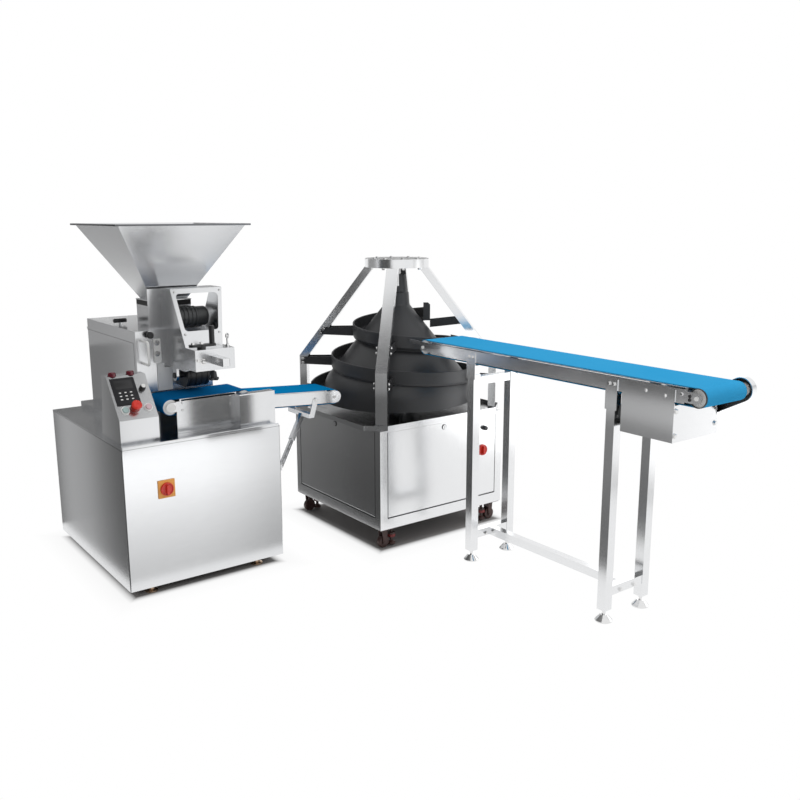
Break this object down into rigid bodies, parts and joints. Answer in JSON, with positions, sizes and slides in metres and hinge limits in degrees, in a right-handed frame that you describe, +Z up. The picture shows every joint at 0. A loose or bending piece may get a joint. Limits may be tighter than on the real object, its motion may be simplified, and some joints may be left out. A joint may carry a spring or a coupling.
{
  "type": "dough divider rounder",
  "caption": "Dough divider with hopper and short belts feeding a conical rounder with a spiral track and a long outfeed belt on legs.",
  "frame": {"origin": "middle of the floor plan, on the floor", "axes": "+X along the divider's belts towards the rounder, +Y towards the back, -Y along the outfeed belt, +Z up"},
  "size_m": [2.138, 2.882, 1.672],
  "materials": {
    "stainless": "brushed stainless sheet",
    "polished_steel": "turned and polished",
    "coated_aluminium": "black non-stick coating",
    "black_paint": "satin black",
    "motor_paint": "satin grey",
    "blue_belt": "smooth blue food belt",
    "black_rubber": "matt",
    "black_plastic": "moulded",
    "white_plastic": "machined food plastic",
    "red_plastic": "moulded",
    "green_plastic": "moulded, pale green",
    "caster_plastic": "moulded"
  },
  "bodies": {
    "line_frame": {"divider_cabinet": "stainless", "console_housing": "stainless", "drive_housing": "stainless", "metering_chamber": "stainless", "hopper": "stainless", "ram_chamber": "stainless", "head_yoke": "stainless", "head_guard": "stainless", "wall_fittings": "stainless", "discharge_frame": "stainless", "drive_cover": "stainless", "transfer_frame": "stainless", "transfer_brace": "stainless", "rounder_cabinet": "stainless", "rounder_tray": "stainless", "corner_posts": "stainless", "top_ring": "stainless", "outfeed_frame": "stainless", "outfeed_legs": "stainless", "outfeed_covers": "stainless", "divider_feet": "polished_steel", "outfeed_feet": "polished_steel", "spiral_track": "coated_aluminium", "track_arms": "black_paint", "caster_brackets": "black_paint", "head_gear_motor": "motor_paint", "cone_gear_motor": "motor_paint", "outfeed_gear_motor": "motor_paint", "discharge_belt": "blue_belt", "transfer_belt": "blue_belt", "outfeed_belt": "blue_belt", "hopper_gasket": "black_rubber"},
    "cone": {"rounding_cone": "coated_aluminium", "cone_shaft": "stainless"},
    "front_door": {"front_door": "stainless"},
    "side_door": {"side_door": "stainless"},
    "housing_lid": {"housing_lid": "stainless"},
    "dough_ram": {"dough_ram": "white_plastic"},
    "dividing_drum": {"dividing_drum": "black_plastic"},
    "weight_crank": {"weight_crank": "stainless"},
    "weight_bar": {"weight_bar": "stainless"},
    "star_knob": {"star_knob": "black_plastic"},
    "clamp_knob": {"clamp_knob": "black_plastic"},
    "main_switch": {"divider_switch_knob": "red_plastic"},
    "start_button": {"console_start_button": "green_plastic"},
    "stop_button": {"console_stop_button": "red_plastic"},
    "emergency_stop": {"console_emergency_stop": "red_plastic"},
    "console_speed": {"console_speed_knob": "black_plastic"},
    "discharge_drive": {"discharge_drive_roller": "polished_steel"},
    "discharge_idler": {"discharge_idler_roller": "polished_steel"},
    "transfer_drive": {"transfer_drive_roller": "polished_steel"},
    "transfer_end": {"transfer_end_roller": "polished_steel"},
    "outfeed_head": {"outfeed_head_roller": "polished_steel"},
    "outfeed_tail": {"outfeed_tail_roller": "polished_steel"},
    "rounder_switch": {"rounder_switch_knob": "red_plastic"},
    "rounder_speed": {"rounder_speed_knob": "black_plastic"},
    "caster_1": {"caster_wheel_1": "caster_plastic"},
    "caster_2": {"caster_wheel_2": "caster_plastic"},
    "caster_3": {"caster_wheel_3": "caster_plastic"},
    "caster_4": {"caster_wheel_4": "caster_plastic"}
  },
  "joints": [
    {"name": "main_switch_turn", "type": "hinge", "parent": "line_frame", "child": "main_switch", "pos_m": [-0.875, 0.409, 0.498], "axis": [0, -1, 0], "range_deg": [0, 90]},
    {"name": "start_button_press", "type": "slide", "parent": "line_frame", "child": "start_button", "axis": [0, 0.78, -0.6258], "range_m": [0, 0.004], "stiffness_N_per_m": 400},
    {"name": "stop_button_press", "type": "slide", "parent": "line_frame", "child": "stop_button", "axis": [0, 0.78, -0.6258], "range_m": [0, 0.004], "stiffness_N_per_m": 400},
    {"name": "emergency_stop_press", "type": "slide", "parent": "line_frame", "child": "emergency_stop", "axis": [0, 0.78, -0.6258], "range_m": [0, 0.006]},
    {"name": "console_speed_turn", "type": "hinge", "parent": "line_frame", "child": "console_speed", "pos_m": [-0.906, 0.55087, 0.942], "axis": [0, -0.78, 0.6258], "range_deg": [-135, 135]},
    {"name": "housing_lid_open", "type": "hinge", "parent": "line_frame", "child": "housing_lid", "pos_m": [-0.859, 1.43, 1.128], "axis": [-1, 0, 0], "range_deg": [0, 75]},
    {"name": "dough_ram_stroke", "type": "slide", "parent": "line_frame", "child": "dough_ram", "axis": [0, -1, 0], "range_m": [0, 0.25]},
    {"name": "weight_crank_turn", "type": "hinge", "parent": "line_frame", "child": "weight_crank", "pos_m": [-0.657, 0.443, 1.113], "axis": [0, 0, 1], "range_deg": [-1080, 1080]},
    {"name": "weight_bar_slide", "type": "slide", "parent": "line_frame", "child": "weight_bar", "axis": [0, -1, 0], "range_m": [-0.015, 0.015]},
    {"name": "star_knob_turn", "type": "hinge", "parent": "line_frame", "child": "star_knob", "pos_m": [-0.609, 0.431, 0.972], "axis": [0, 0, 1], "range_deg": [-180, 180]},
    {"name": "clamp_knob_turn", "type": "hinge", "parent": "line_frame", "child": "clamp_knob", "pos_m": [-0.797, 0.727, 1.16], "axis": [0, -1, 0], "range_deg": [-180, 180]},
    {"name": "dividing_drum_turn", "type": "hinge", "parent": "line_frame", "child": "dividing_drum", "pos_m": [-0.704, 0.659, 0.964], "axis": [1, 0, 0], "continuous": true},
    {"name": "discharge_drive_turn", "type": "hinge", "parent": "line_frame", "child": "discharge_drive", "pos_m": [-0.417, 0.614, 0.844], "axis": [0, 1, 0], "continuous": true},
    {"name": "discharge_idler_turn", "type": "hinge", "parent": "line_frame", "child": "discharge_idler", "pos_m": [-0.791, 0.614, 0.844], "axis": [0, 1, 0], "continuous": true},
    {"name": "transfer_drive_turn", "type": "hinge", "parent": "line_frame", "child": "transfer_drive", "pos_m": [-0.334, 0.614, 0.811], "axis": [0, 1, 0], "continuous": true},
    {"name": "transfer_end_turn", "type": "hinge", "parent": "line_frame", "child": "transfer_end", "pos_m": [0.097, 0.614, 0.784], "axis": [0, 1, 0], "continuous": true},
    {"name": "outfeed_head_turn", "type": "hinge", "parent": "line_frame", "child": "outfeed_head", "pos_m": [0.614, -1.391, 1.042], "axis": [1, 0, 0], "continuous": true},
    {"name": "outfeed_tail_turn", "type": "hinge", "parent": "line_frame", "child": "outfeed_tail", "pos_m": [0.614, 0.241, 1.042], "axis": [1, 0, 0], "continuous": true},
    {"name": "cone_turn", "type": "hinge", "parent": "line_frame", "child": "cone", "pos_m": [0.603, 0.641, 0.638], "axis": [0, 0, -1], "continuous": true},
    {"name": "front_door_tilt", "type": "hinge", "parent": "line_frame", "child": "front_door", "pos_m": [0.603, 0.227, 0.1778], "axis": [1, 0, 0], "range_deg": [0, 30]},
    {"name": "side_door_tilt", "type": "hinge", "parent": "line_frame", "child": "side_door", "pos_m": [0.189, 0.641, 0.1778], "axis": [0, -1, 0], "range_deg": [0, 30]},
    {"name": "rounder_switch_turn", "type": "hinge", "parent": "front_door", "child": "rounder_switch", "pos_m": [0.879, 0.221, 0.433], "axis": [0, -1, 0], "range_deg": [0, 90]},
    {"name": "rounder_speed_turn", "type": "hinge", "parent": "front_door", "child": "rounder_speed", "pos_m": [0.891, 0.221, 0.557], "axis": [0, -1, 0], "range_deg": [-135, 135]},
    {"name": "caster_1_roll", "type": "hinge", "parent": "line_frame", "child": "caster_1", "pos_m": [0.231, 0.269, 0.033], "axis": [0, 1, 0], "continuous": true},
    {"name": "caster_2_roll", "type": "hinge", "parent": "line_frame", "child": "caster_2", "pos_m": [0.231, 1.013, 0.033], "axis": [0, 1, 0], "continuous": true},
    {"name": "caster_3_roll", "type": "hinge", "parent": "line_frame", "child": "caster_3", "pos_m": [0.975, 0.269, 0.033], "axis": [0, 1, 0], "continuous": true},
    {"name": "caster_4_roll", "type": "hinge", "parent": "line_frame", "child": "caster_4", "pos_m": [0.975, 1.013, 0.033], "axis": [0, 1, 0], "continuous": true}
  ],
  "couplings": [
    {"joint": "weight_bar_slide", "follows": "weight_crank_turn", "m_per_rad": 0.0007958},
    {"joint": "discharge_idler_turn", "follows": "discharge_drive_turn", "ratio": 1},
    {"joint": "transfer_drive_turn", "follows": "discharge_drive_turn", "ratio": 1},
    {"joint": "transfer_end_turn", "follows": "discharge_drive_turn", "ratio": 1},
    {"joint": "outfeed_tail_turn", "follows": "outfeed_head_turn", "ratio": 1}
  ]
}
